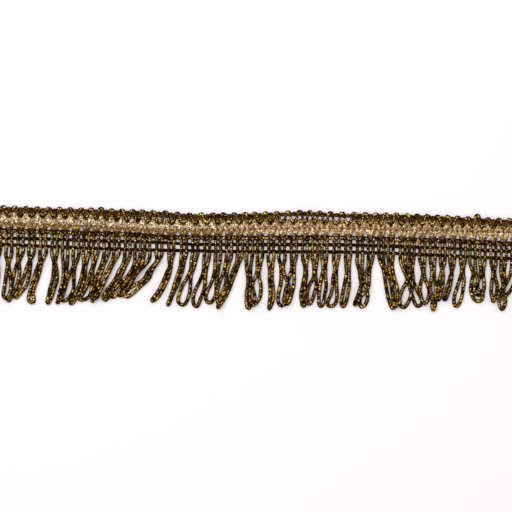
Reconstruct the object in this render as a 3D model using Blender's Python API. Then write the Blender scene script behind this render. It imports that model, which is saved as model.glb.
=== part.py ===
"""Gota lace trim: a cut length of metallic knit trimming with a picot edge and a looped fringe.

The trim lies flat on z = 0 with its face up. +X runs along its length, +Y is the picot edge and
-Y the looped fringe. The origin is under the middle of its bounding box.
"""
import bpy
import bmesh
import numpy as np
from mathutils import Vector

MM = 0.001

# Yarn and net sizes
CORD = 1.05 * MM                # width of a fringe strand, pressed in where two lie side by side
CORD_HEIGHT = 1.10 * MM
LEG = 1.05 * MM                 # width of a cord where the chain rows draw it in
PITCH = 4.1 * MM                # the knitting pitch
LEG_INSET = PITCH / 4           # from a loop's middle to each of its legs
CROSSING_RISE = 1.50 * MM       # how far the upper leg climbs over the lower one
CLIMB_SHARE = 0.6               # where its climb ends, as a share of the way to the join
LIFT_RISE = 1.40 * MM           # how far a lifted loop lies above its neighbour, a layer
LIFT_RUN = 2.0 * MM             # a lifted loop is fully up this far below its join
TURN_ROOM = 0.12 * MM           # least radius of the inside of a loop's tip
TURN_SHARE = 0.75               # a tip's radius as a share of the loop's eye

# Picot edge
PICOT_HEIGHT = 1.30 * MM
PICOT_RISE = 1.30 * MM          # top of a bump above the first chain row
PICOT_SHOULDER = 0.95 * MM
PICOT_DIP = 1.10 * MM           # the cord's height where it sinks between two bumps
CHAIN_HALF = 0.45 * MM          # half the width of a chain row
TURN_CLEAR = 0.80 * MM          # the edge's lower side above the second row, over a ribbon turn
TURN_SIDE = 0.50 * MM

# Gota ribbon
RIBBON_HEIGHT = 1.00 * MM
RIBBON_RIDGE = 1.35 * MM        # its height where the third chain row binds it
RIBBON_TOP = 0.40 * MM          # upper turns, above the second row
RIBBON_NOTCH = 0.40 * MM        # a notch's tip, from the third row
RIBBON_BOTTOM = -0.30 * MM      # lower turns, from the arch tops
RIBBON_TURN = 0.12              # half a turn's width, in local pitches

# Arch net
NET_HEIGHT = 1.20 * MM
KNOT_HEIGHT = 1.50 * MM
ARCH_THICK = 1.50 * MM
ARCH_SHOULDER = 0.70 * MM
NET_CHAIN_HALF = 0.60 * MM
PIECE_GAP = 0.32 * MM           # clearance between two sub-parts

# Fringe strip
STRIP_HALF = 0.50 * MM
STRIP_HEIGHT = 1.25 * MM

# Where the knit rows run, in millimetres. x is the place along the trim and the other columns are
# the heights of the picot chain, the picot turns, the ribbon chain, the arch tops, the net chain
# and the fringe chain there.
LIE_COLUMNS = ("x", "picot", "turn", "ribbon", "arch", "net", "strip")
LIE = [
    (-108.0, 18.7, 16.8, 13.8, 11.6, 7.8, 5.4),
    (-97.3, 18.5, 16.6, 13.6, 11.4, 7.6, 5.2),
    (-78.3, 18.1, 16.1, 12.7, 10.8, 7.2, 4.4),
    (-59.3, 17.6, 15.5, 12.2, 10.1, 6.5, 3.6),
    (-47.9, 17.1, 14.5, 11.4, 9.8, 6.3, 3.2),
    (-36.5, 16.8, 13.9, 10.9, 8.8, 6.0, 3.0),
    (-25.1, 15.8, 13.6, 10.8, 8.7, 5.2, 2.8),
    (-2.3, 16.0, 13.7, 10.9, 8.5, 5.1, 2.4),
    (16.7, 16.8, 13.9, 11.3, 8.7, 5.1, 2.4),
    (35.7, 16.0, 13.1, 11.0, 8.5, 5.0, 2.3),
    (54.7, 15.7, 12.9, 10.5, 7.9, 4.4, 1.7),
    (73.7, 14.8, 12.2, 10.3, 7.5, 3.6, 0.9),
    (92.7, 13.8, 11.1, 9.7, 6.5, 2.7, -0.1),
    (108.0, 13.4, 10.6, 9.1, 5.9, 2.2, -0.6),
]

# The fringe, a row for each loop, in millimetres. root is the loop's place along the trim. A lean
# is a shift to the side and a drop the distance below the fringe chain: of the join where the two
# legs meet, of the belly where the loop is widest, and of its tip. eye is half the distance
# between the legs at the belly. cross is 1 where the left leg crosses over the right at the join,
# -1 where the right leg crosses over the left and 0 where they only lie side by side. lift is the
# number of layers of neighbouring loops that the loop lies on.
LOOP_COLUMNS = ("root", "join_lean", "join_drop", "belly_lean", "belly_drop", "eye",
                "tip_lean", "tip_drop", "cross", "lift")
LOOPS = [
    (-102.2, -0.4, 6.5, -0.8, 13.3, 0.80, -2.3, 20.9, 1, 0),
    (-98.0, -0.4, 6.3, -0.8, 13.6, 0.80, -2.3, 21.5, 1, 0),
    (-93.9, -0.4, 6.9, -0.2, 13.8, 0.95, -2.1, 20.6, 1, 0),
    (-89.5, -0.8, 4.9, -1.6, 13.2, 0.72, -4.4, 21.2, 1, 1),
    (-85.3, -0.6, 5.4, -2.5, 13.0, 1.05, -6.3, 20.4, 1, 0),
    (-80.9, -0.8, 6.0, -3.0, 13.3, 0.84, -4.4, 21.8, 1, 0),
    (-76.6, 0.1, 6.6, -0.3, 13.5, 0.80, -2.3, 22.0, 1, 0),
    (-72.6, 0.0, 7.9, -0.3, 12.9, 0.68, -2.5, 21.8, 1, 0),
    (-68.4, -0.6, 8.5, -2.3, 15.4, 1.15, -3.0, 21.4, 1, 1),
    (-64.5, -0.6, 6.8, -1.9, 13.3, 0.70, -3.5, 19.4, -1, 0),
    (-60.8, -0.8, 6.0, -3.4, 13.2, 0.65, -6.5, 19.6, 1, 1),
    (-56.8, -1.5, 5.8, -4.3, 12.3, 0.65, -7.6, 18.7, 1, 0),
    (-53.0, -1.7, 4.9, -4.9, 12.2, 0.65, -9.1, 20.3, 1, 0),
    (-48.8, -1.1, 4.8, -4.4, 12.0, 0.90, -8.9, 19.4, 1, 0),
    (-45.0, -1.4, 6.2, -4.8, 11.9, 0.65, -8.8, 18.4, 1, 1),
    (-41.4, -0.6, 4.9, -4.9, 11.0, 0.65, -10.6, 17.5, 1, 0),
    (-36.8, -1.4, 4.9, -5.6, 10.6, 0.72, -13.0, 17.8, 1, 1),
    (-32.2, -0.6, 5.5, -1.9, 11.2, 0.65, -7.7, 19.6, 1, 0),
    (-27.4, -0.6, 5.1, -2.4, 12.7, 0.65, -5.9, 21.2, 1, 0),
    (-23.1, -1.4, 8.4, -3.4, 14.5, 1.75, -5.1, 21.2, 1, 0),
    (-18.6, -1.0, 8.4, -3.0, 14.4, 1.80, -4.8, 21.5, 1, 0),
    (-14.4, -0.6, 7.9, -2.5, 14.7, 1.25, -3.6, 19.9, 1, 0),
    (-10.3, -0.6, 6.0, -2.4, 11.7, 0.65, -4.6, 21.5, 1, 0),
    (-6.1, -1.1, 5.5, -3.8, 11.6, 0.65, -7.2, 20.7, 1, 1),
    (-2.3, -0.2, 6.2, -0.2, 12.7, 0.72, -0.1, 21.8, -1, 0),
    (1.5, -0.8, 6.6, -1.3, 14.2, 1.50, -2.3, 20.5, 1, 1),
    (5.7, 0.0, 7.8, 0.4, 14.6, 0.65, -0.2, 21.4, 1, 0),
    (9.9, 0.2, 5.5, 0.3, 13.8, 0.90, -0.6, 20.7, 1, 0),
    (14.4, -0.5, 6.2, -1.2, 13.8, 1.00, -2.4, 20.5, 1, 1),
    (18.6, 0.2, 7.0, 0.2, 13.8, 0.70, -0.3, 21.2, -1, 0),
    (22.4, 0.4, 7.3, -0.9, 14.6, 1.35, -2.2, 20.6, 1, 1),
    (26.0, -0.3, 6.2, -0.7, 13.8, 1.00, -1.4, 20.8, 1, 0),
    (30.6, -0.5, 7.3, -1.0, 14.5, 1.15, -1.9, 21.1, 1, 0),
    (35.0, 0.0, 7.2, -0.5, 13.7, 0.80, -1.9, 20.7, 1, 0),
    (39.5, 0.6, 8.2, -0.1, 13.6, 0.70, -1.7, 20.6, -1, 0),
    (43.6, -0.5, 5.1, -2.0, 13.5, 1.00, -3.3, 21.1, 1, 1),
    (47.6, 0.6, 5.4, 2.5, 13.0, 0.90, 3.5, 20.2, -1, 0),
    (51.2, 0.0, 6.8, 1.3, 12.8, 0.85, 1.4, 21.1, 1, 1),
    (55.7, 1.1, 5.7, 5.3, 16.1, 1.30, 6.5, 19.9, 1, 1),
    (59.2, 0.1, 6.5, -2.3, 16.0, 1.80, -3.2, 20.9, 0, 0),
    (63.2, 0.3, 6.7, 1.4, 13.9, 1.85, 2.5, 19.5, -1, 0),
    (67.1, 0.1, 8.5, 0.2, 13.4, 0.85, 0.0, 21.4, 1, 1),
    (70.9, -0.2, 6.0, -0.8, 12.1, 0.80, -1.7, 17.8, 1, 0),
    (74.6, -0.3, 5.9, -1.4, 11.6, 0.70, -3.0, 17.8, 1, 1),
    (78.7, -0.2, 6.4, -1.0, 12.5, 1.15, -2.4, 19.4, 1, 0),
    (82.3, 0.4, 5.1, 0.8, 12.3, 1.20, 1.9, 17.6, -1, 0),
    (86.1, -0.2, 4.8, -0.3, 11.7, 0.90, -0.4, 16.8, 1, 1),
    (90.2, 0.2, 5.7, 0.6, 12.2, 0.80, 0.1, 16.9, 1, 0),
    (94.2, -0.4, 5.9, -0.8, 11.2, 0.65, -0.6, 19.8, 1, 0),
    (98.2, -1.0, 5.7, -3.6, 9.9, 0.65, -6.3, 14.9, 0, 2),
    (102.4, -0.4, 5.6, -1.0, 12.1, 0.80, -1.7, 18.9, 1, 0),
]

# Where a leg has its sections, as shares of the way from root to join, from join to belly and from
# belly to the start of the tip's turn.
ROOT_SECTIONS = (0.35, 0.68, 1.0)
BELLY_SECTIONS = (0.6, 1.0)
TURN_SECTIONS = (0.5, 1.0)

PICOT_COLUMNS = (-0.5, -0.3, -0.12, 0.12, 0.3)

SLOPE_STEP = 0.1 * MM           # step over which a middle line's direction is taken
LEAST_SHARE = 0.001


def clear_scene():
    for item in list(bpy.data.objects):
        bpy.data.objects.remove(item, do_unlink=True)


def material(name, colour, roughness, metallic):
    made = bpy.data.materials.new(name)
    made.use_nodes = True
    shader = made.node_tree.nodes["Principled BSDF"]
    shader.inputs["Base Color"].default_value = (*colour, 1.0)
    shader.inputs["Roughness"].default_value = roughness
    shader.inputs["Metallic"].default_value = metallic
    made.diffuse_color = (*colour, 1.0)
    return made


def row(name, x):
    """The height in metres of a knit row at x."""
    places = [line[0] * MM for line in LIE]
    column = LIE_COLUMNS.index(name)
    heights = [line[column] * MM for line in LIE]
    return float(np.interp(x, places, heights))


def loops():
    """The loop table as dictionaries in metres."""
    made = []
    for line in LOOPS:
        loop = {name: value * MM for name, value in zip(LOOP_COLUMNS, line)}
        loop["cross"] = line[-2]
        loop["lift"] = line[-1] * LIFT_RISE
        made.append(loop)
    return made


def leg_places():
    """Left and right leg of each arch, as pairs."""
    roots = [loop["root"] for loop in loops()]
    roots = [roots[0] - PITCH] + roots + [roots[-1] + PITCH]
    return [(left + LEG_INSET, right - LEG_INSET) for left, right in zip(roots, roots[1:])]


def stitch_places():
    """The middle of each arch."""
    return [(left + right) / 2 for left, right in leg_places()]


class Plate:
    """A flat outline of cells that share their corners, extruded to each corner's own height."""

    def __init__(self):
        self.mesh = bmesh.new()
        self.height = self.mesh.verts.layers.float.new("height")
        self.cells = []

    def point(self, x, y, height):
        made = self.mesh.verts.new((x, y, 0.0))
        made[self.height] = height
        return made

    def cell(self, *corners):
        """Adds a cell whose corners go round anticlockwise, seen from above."""
        self.cells.append(self.mesh.faces.new(corners))

    def raise_up(self):
        """Extrudes the cells and gives the mesh."""
        raised = bmesh.ops.extrude_face_region(self.mesh, geom=self.cells)
        for item in raised["geom"]:
            if isinstance(item, bmesh.types.BMVert):
                item.co.z = item[self.height]
        return self.mesh


def add_object(name, mesh, finish):
    bmesh.ops.recalc_face_normals(mesh, faces=mesh.faces)
    data = bpy.data.meshes.new(name)
    mesh.to_mesh(data)
    mesh.free()
    data.materials.append(finish)
    made = bpy.data.objects.new(name, data)
    bpy.context.scene.collection.objects.link(made)
    return made


def picot_edge(finish):
    """The bronze cord along the upper edge: a bump over each stitch, a turn between stitches."""
    plate = Plate()
    stitches = stitch_places()
    last = None
    rises = {0.5: CHAIN_HALF, 0.3: PICOT_SHOULDER, 0.12: PICOT_RISE}
    sinks = {0.5: 0.0, 0.3: TURN_SIDE, 0.12: TURN_CLEAR}
    heights = {0.5: PICOT_DIP, 0.3: PICOT_HEIGHT, 0.12: PICOT_HEIGHT}
    places = [(middle + share * PITCH, abs(share)) for middle in stitches
              for share in PICOT_COLUMNS]
    places.append((stitches[-1] + 0.5 * PITCH, 0.5))
    for x, share in places:
        upper = plate.point(x, row("picot", x) + rises[share], heights[share])
        lower = plate.point(x, row("turn", x) + sinks[share], heights[share])
        if last:
            plate.cell(last[0], last[1], lower, upper)
        last = (upper, lower)
    return add_object("picot_edge", plate.raise_up(), finish)


def gota_ribbon(finish):
    """The flat metallic ribbon that zigzags between the picot turns and the arches."""
    plate = Plate()
    stitches = stitch_places()
    stitches.append(stitches[-1] + PITCH)
    half_turn = RIBBON_TURN * PITCH
    before = None
    for middle, following in zip(stitches, stitches[1:]):
        between = (middle + following) / 2
        top = row("turn", middle) + RIBBON_TOP
        left = plate.point(middle - half_turn, top, RIBBON_HEIGHT)
        right = plate.point(middle + half_turn, top, RIBBON_HEIGHT)
        notch = plate.point(middle, row("ribbon", middle) - RIBBON_NOTCH, RIBBON_RIDGE)
        if before:
            plate.cell(before["notch"], before["right"], notch, left)
        plate.cell(left, notch, right)
        if following == stitches[-1]:
            break
        bottom = row("arch", between) + RIBBON_BOTTOM
        low_left = plate.point(between - half_turn, bottom, RIBBON_HEIGHT)
        low_right = plate.point(between + half_turn, bottom, RIBBON_HEIGHT)
        low_notch = plate.point(between, row("ribbon", between) + RIBBON_NOTCH, RIBBON_RIDGE)
        plate.cell(notch, low_left, low_notch, right)
        plate.cell(low_left, low_right, low_notch)
        before = {"notch": low_notch, "right": low_right}
    return add_object("gota_ribbon", plate.raise_up(), finish)


def arch_net(finish):
    """The arches and the chain row under them, with the short legs down to the fringe strip."""
    plate = Plate()
    half = LEG / 2
    last = None
    for left_leg, right_leg in leg_places():
        columns = (left_leg - half, left_leg + half, right_leg - half, right_leg + half)
        lines = []
        for x in columns:
            chain = row("net", x)
            arch = row("arch", x)
            lines.append({
                "foot": plate.point(x, row("strip", x) + STRIP_HALF + PIECE_GAP, NET_HEIGHT),
                "under": plate.point(x, chain - NET_CHAIN_HALF, KNOT_HEIGHT),
                "over": plate.point(x, chain + NET_CHAIN_HALF, KNOT_HEIGHT),
                "spring": plate.point(x, arch - ARCH_THICK, NET_HEIGHT),
                "crown": plate.point(x, arch - (0 if x in columns[1:3] else ARCH_SHOULDER), NET_HEIGHT),
            })
        outer_left, inner_left, inner_right, outer_right = lines
        if last:
            plate.cell(last["under"], outer_left["under"], outer_left["over"], last["over"])
        for near, far in ((outer_left, inner_left), (inner_right, outer_right)):
            plate.cell(near["foot"], far["foot"], far["under"], near["under"])
            plate.cell(near["under"], far["under"], far["over"], near["over"])
            plate.cell(near["over"], far["over"], far["spring"], near["spring"])
            plate.cell(near["spring"], far["spring"], far["crown"], near["crown"])
        plate.cell(inner_left["under"], inner_right["under"], inner_right["over"], inner_left["over"])
        plate.cell(inner_left["spring"], inner_right["spring"], inner_right["crown"], inner_left["crown"])
        last = outer_right
    return add_object("arch_net", plate.raise_up(), finish)


def ease(share):
    share = min(max(share, 0.0), 1.0)
    return share * share * (3 - 2 * share)


def lean_at(loop, drop):
    """The lean of a loop's middle line at a drop, smooth through root, join, belly and tip."""
    drops = [STRIP_HALF, loop["join_drop"], loop["belly_drop"], loop["tip_drop"] - CORD / 2]
    leans = [0.0, loop["join_lean"], loop["belly_lean"], loop["tip_lean"]]
    slopes = [0.0]
    for middle in (1, 2):
        slopes.append((leans[middle + 1] - leans[middle - 1]) / (drops[middle + 1] - drops[middle - 1]))
    slopes.append((leans[3] - leans[2]) / (drops[3] - drops[2]))
    part = 2 if drop > drops[2] else 1 if drop > drops[1] else 0
    span = drops[part + 1] - drops[part]
    t = (drop - drops[part]) / span
    start = leans[part] * (2 * t**3 - 3 * t**2 + 1) + slopes[part] * span * (t**3 - 2 * t**2 + t)
    end = leans[part + 1] * (3 * t**2 - 2 * t**3) + slopes[part + 1] * span * (t**3 - t**2)
    return start + end


def middle_line(loop, drop):
    """The loop's middle line at a drop: the point, its way down and the direction to the right."""
    point = Vector((loop["root"] + lean_at(loop, drop), row("strip", loop["root"]) - drop, 0.0))
    swing = lean_at(loop, drop + SLOPE_STEP) - lean_at(loop, drop - SLOPE_STEP)
    down = Vector((swing, -2 * SLOPE_STEP, 0.0)).normalized()
    return point, down, Vector((-down.y, down.x, 0.0))


def loop_route(loop):
    """The route from the left leg's root round the tip to the right leg's root, on its underside."""
    cross = loop["cross"]
    least = CORD / 2 + TURN_ROOM
    turn = max(least, TURN_SHARE * loop["eye"])
    turn_drop = loop["tip_drop"] - CORD / 2 - turn
    lift_end = loop["join_drop"] + LIFT_RUN
    apart = np.arcsin(min(1.0, least / loop["eye"])) / (np.pi / 2)
    stations = [(share, 0.0, 0.0) for share in ROOT_SECTIONS]
    stations += [(1.0, share, 0.0) for share in BELLY_SECTIONS]
    stations += [(1.0, 1.0, share) for share in TURN_SECTIONS]
    legs = {1: [], -1: []}
    for to_join, to_belly, to_turn in stations:
        drop = STRIP_HALF + (loop["join_drop"] - STRIP_HALF) * to_join
        drop += (loop["belly_drop"] - loop["join_drop"]) * to_belly
        drop += (turn_drop - loop["belly_drop"]) * to_turn
        opening = np.sin(np.pi / 2 * to_belly)
        if cross:
            spread = LEG_INSET * np.cos(np.pi / 2 * to_join) - loop["eye"] * opening
        else:
            spread = LEG_INSET + (least - LEG_INSET) * to_join + (loop["eye"] - least) * opening
        towards = 1 if spread > 0 else -1
        spread += (turn * towards - spread) * ease(to_turn)
        fall = ease((to_belly - apart) / max(1 - apart, LEAST_SHARE))
        climb = CROSSING_RISE * ease(to_join / CLIMB_SHARE) * (1 - fall)
        lifted = loop["lift"] * ease(drop / lift_end)
        point, down, right = middle_line(loop, drop)
        for side in (1, -1):
            height = lifted + (climb if side == cross else 0.0)
            legs[side].append(point - right * spread * side + Vector((0.0, 0.0, height)))
    centre, down, right = middle_line(loop, turn_drop)
    centre.z = loop["lift"]
    for side in (1, -1):
        outward = right * side if cross else -right * side
        legs[side].append(centre + (down + outward) * turn * np.sqrt(0.5))
    return legs[1] + [centre + down * turn] + legs[-1][::-1]


def open_root(mesh, near, far):
    """Opens the strip's side face over the edge from near to far and gives that face's corners."""
    edge = mesh.edges.get((near, far))
    side = [face for face in edge.link_faces if len(set(vert.co.z for vert in face.verts)) > 1][0]
    corners = list(side.verts)
    mesh.faces.remove(side)
    high_near = [vert for vert in corners if vert.co.z > 0 and vert.co.xy == near.co.xy][0]
    high_far = [vert for vert in corners if vert.co.z > 0 and vert.co.xy == far.co.xy][0]
    return [near, far, high_far, high_near]


def strand(mesh, route, first, last):
    """A four-sided strand from one opened root in the strip to another, along its route."""
    ends = [sum((corner.co for corner in corners), Vector()) / 4 for corners in (first, last)]
    places = [ends[0]] + route + [ends[1]]
    high = Vector((0.0, 0.0, CORD_HEIGHT))
    rings = [first]
    for before, centre, after in zip(places, places[1:], places[2:]):
        heading = after - before
        side = Vector((-heading.y, heading.x, 0.0)).normalized() * CORD / 2
        corners = (centre - side, centre + side, centre + side + high, centre - side + high)
        rings.append([mesh.verts.new(corner) for corner in corners])
    rings.append(last)
    for near, far in zip(rings, rings[1:]):
        for corner in range(4):
            following = (corner + 1) % 4
            mesh.faces.new((near[corner], near[following], far[following], far[corner]))


def fringe(finish):
    """The looped strands, with their roots fused into the narrow strip that is the last chain row."""
    plate = Plate()
    half = LEG / 2
    stubs = []
    last = None
    for place in [leg for pair in leg_places() for leg in pair]:
        feet = []
        for x in (place - half, place + half):
            upper = plate.point(x, row("strip", x) + STRIP_HALF, STRIP_HEIGHT)
            lower = plate.point(x, row("strip", x) - STRIP_HALF, STRIP_HEIGHT)
            if last:
                plate.cell(last[1], lower, upper, last[0])
            last = (upper, lower)
            feet.append(lower)
        stubs.append(feet)
    mesh = plate.raise_up()
    for loop, left, right in zip(loops(), stubs[1:-1:2], stubs[2:-1:2]):
        first = open_root(mesh, *left)
        end = open_root(mesh, *reversed(right))
        strand(mesh, loop_route(loop), first, end)
    return add_object("fringe", mesh, finish)


def main():
    clear_scene()
    bronze = material("bronze_cord", (0.110, 0.060, 0.012), 0.42, 0.75)
    picot = material("picot_cord", (0.130, 0.075, 0.018), 0.42, 0.75)
    net = material("net_cord", (0.100, 0.055, 0.012), 0.45, 0.70)
    foil = material("gota_foil", (0.560, 0.440, 0.290), 0.30, 0.85)
    picot_edge(picot)
    gota_ribbon(foil)
    arch_net(net)
    fringe(bronze)


main()
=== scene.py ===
"""Gota lace trim: twisted bronze cords, a champagne foil ribbon and dark chain rows, lying flat.

The frame is the trim's own: z = 0 is the surface it lies on, +X runs along it, +Y is the picot
edge and -Y the fringe. Sizes are in metres; the tables are in millimetres.
"""
import bpy
import numpy as np
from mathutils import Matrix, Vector


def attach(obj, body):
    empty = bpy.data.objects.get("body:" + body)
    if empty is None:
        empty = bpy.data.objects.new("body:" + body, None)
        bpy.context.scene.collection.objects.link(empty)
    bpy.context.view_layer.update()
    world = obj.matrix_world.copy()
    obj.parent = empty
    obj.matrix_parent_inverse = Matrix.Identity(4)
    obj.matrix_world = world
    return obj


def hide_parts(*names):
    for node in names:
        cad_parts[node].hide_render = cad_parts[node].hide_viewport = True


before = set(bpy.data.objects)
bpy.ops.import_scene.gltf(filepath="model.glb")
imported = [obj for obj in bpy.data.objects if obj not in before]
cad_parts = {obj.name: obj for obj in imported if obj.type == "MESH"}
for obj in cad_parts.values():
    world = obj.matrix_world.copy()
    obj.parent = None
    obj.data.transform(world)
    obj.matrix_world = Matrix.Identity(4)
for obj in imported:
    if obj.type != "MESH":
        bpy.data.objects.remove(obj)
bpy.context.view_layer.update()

MM = 0.001
SEED = 7
UP = np.array((0.0, 0.0, 1.0))

# Yarn sizes
FRINGE_CORD = 1.50 * MM         # a hanging cord across
NET_CORD = 1.34 * MM            # the same cord where the chain rows draw it in
ARCH_CORD = 1.58 * MM           # the same cord over the top of an arch
TWIST = 1.80 * MM               # length of one full turn of a cord's two plies
HELIX_SHARE = 0.46              # a ply's place off the cord's axis, as a share of the cord's radius
PLY_SHARE = 0.54                # a ply's half-thickness, as a share of the cord's radius
PLY_WIDTH = 1.60                # a ply's half-width, against its half-thickness
CORD_STEP = 0.20 * MM
WRAP = 0.34                     # millimetres from one wrap of the metallic thread to the next
FLECK = 0.26                    # millimetres of cord to a bright or a dark fleck
FIBRE = 0.45                    # millimetres of binding yarn to one turn of its fibres
PLY_SIDES = 6
ARCH_SIDES = 5
CROWN_SIDES = 6
CROWN_RADIUS = 0.28 * MM        # of the strand over the arches
CHAIN_SIDES = 4
CHAIN_STEP = 0.24 * MM
CHAIN_STRIP = 13                # legs to one strip of chain stitches
CELL_LENGTH = 24.0 * MM         # a cell of the bake map: length and girth of yarn
CELL_GIRTH = 2.4 * MM
CELL_EDGES = (0.02, 0.10)       # a cell's free edges, as shares of its length and girth

# Gota ribbon
RIBBON_THICK = 0.10 * MM
RIBBON_COLUMNS = 7
RIBBON_SHARES = (0.0, 0.10, 0.22, 0.36, 0.50, 0.64, 0.78, 0.90, 1.0)
# half its width at these shares of a run from its upper turn, against the run along the trim
RIBBON_HALVES = (0.20, 0.30, 0.46, 0.53, 0.56, 0.53, 0.50, 0.48, 0.46)
# places along the trim, and the height there of its upper turns over the picot's, in millimetres
RIBBON_TOPS = ((-60.0, 0.0, 40.0, 90.0), (0.70, 0.60, 1.0, 1.3))
RIBBON_BOTTOM = 0.80 * MM       # its lower turns, below the tops of the arches
RIBBON_RISE = 0.55 * MM         # its upper face at the turns, above the surface
RIBBON_FOLD = 0.26 * MM         # how far a turn of the ribbon rises from one run to the next

# Heading
HEADING_RISE = 0.85 * MM        # the middle of the heading's cords above the surface
PITCH = 4.1 * MM
PICOT_TURN = 0.20               # millimetres from the turn row up to the picot cord's turns
PICOT_TOP = 0.15 * MM           # the picot cord at a bump's foot, below the picot row
ARCH_AXIS = 0.85 * MM           # an arch's axis, below the row of arch tops
ARCH_WIDEN = (1.3 * MM, 1.2 * MM)  # its cord widens from this far below the top, over this height
STITCH_PLAY = 0.10              # millimetres that a stitch may be off its place
LIFT_PLAY = 0.08                # and its top off its height: a picot's share, or millimetres
CLEARANCE = 0.02 * MM           # the lowest yarns, above the surface

# Fringe
LEG_INSET = 0.95 * MM           # a leg's place, from the root of its loop
LOOP_START = 0.3 * MM           # a loop's way starts this far below the chain row
LOOP_END = 0.05 * MM            # and its cord is led up to this far below it
LOOP_STEP = 0.4 * MM
LOOP_SWAY = (0.13 * MM, 0.07 * MM)  # small wandering of a loop, across and down
SWAY_LEAD = 4 * MM              # length at each end over which the wandering starts
LOOP_LEAD = 5 * MM              # drop over which a cord comes down from the heading's height
LOOP_WIDEN = 2.2 * MM           # drop over which it widens from the net's cord to the fringe's
TOUCH = 1.25 * MM               # cords closer than this lie on each other
STACK = 1.02 * MM               # how far one cord rises over another
FREE = 2.2 * MM                 # the shortest way round a turn on which a cord may lie on itself
PRESSED = 3.0 * MM              # heaps above this are pressed to half their height

# Where the knit rows run: the place along the trim and the height of each row there
LIE_COLUMNS = ("x", "picot", "turn", "ribbon", "arch", "net", "strip")
LIE = [
    (-108.0, 18.9, 16.8, 13.8, 11.6, 7.8, 5.4),
    (-97.3, 18.7, 16.6, 13.6, 11.4, 7.6, 5.2),
    (-78.3, 18.0, 16.1, 12.7, 10.8, 7.2, 4.4),
    (-59.3, 17.6, 15.5, 12.2, 10.1, 6.5, 3.6),
    (-47.9, 17.1, 14.5, 11.4, 9.8, 6.3, 3.2),
    (-36.5, 16.8, 13.9, 10.9, 8.8, 6.0, 3.0),
    (-25.1, 15.8, 13.6, 10.8, 8.7, 5.2, 2.8),
    (-2.3, 16.0, 13.7, 10.9, 8.5, 5.1, 2.4),
    (16.7, 16.8, 13.9, 11.3, 8.7, 5.1, 2.4),
    (35.7, 16.0, 13.1, 11.0, 8.5, 5.0, 2.3),
    (54.7, 15.7, 13.1, 10.5, 7.9, 4.4, 1.7),
    (73.7, 14.8, 12.5, 10.3, 7.5, 3.6, 0.9),
    (92.7, 13.8, 11.4, 9.7, 6.5, 2.7, -0.1),
    (108.0, 13.4, 10.9, 9.1, 5.9, 2.2, -0.6),
]

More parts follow.
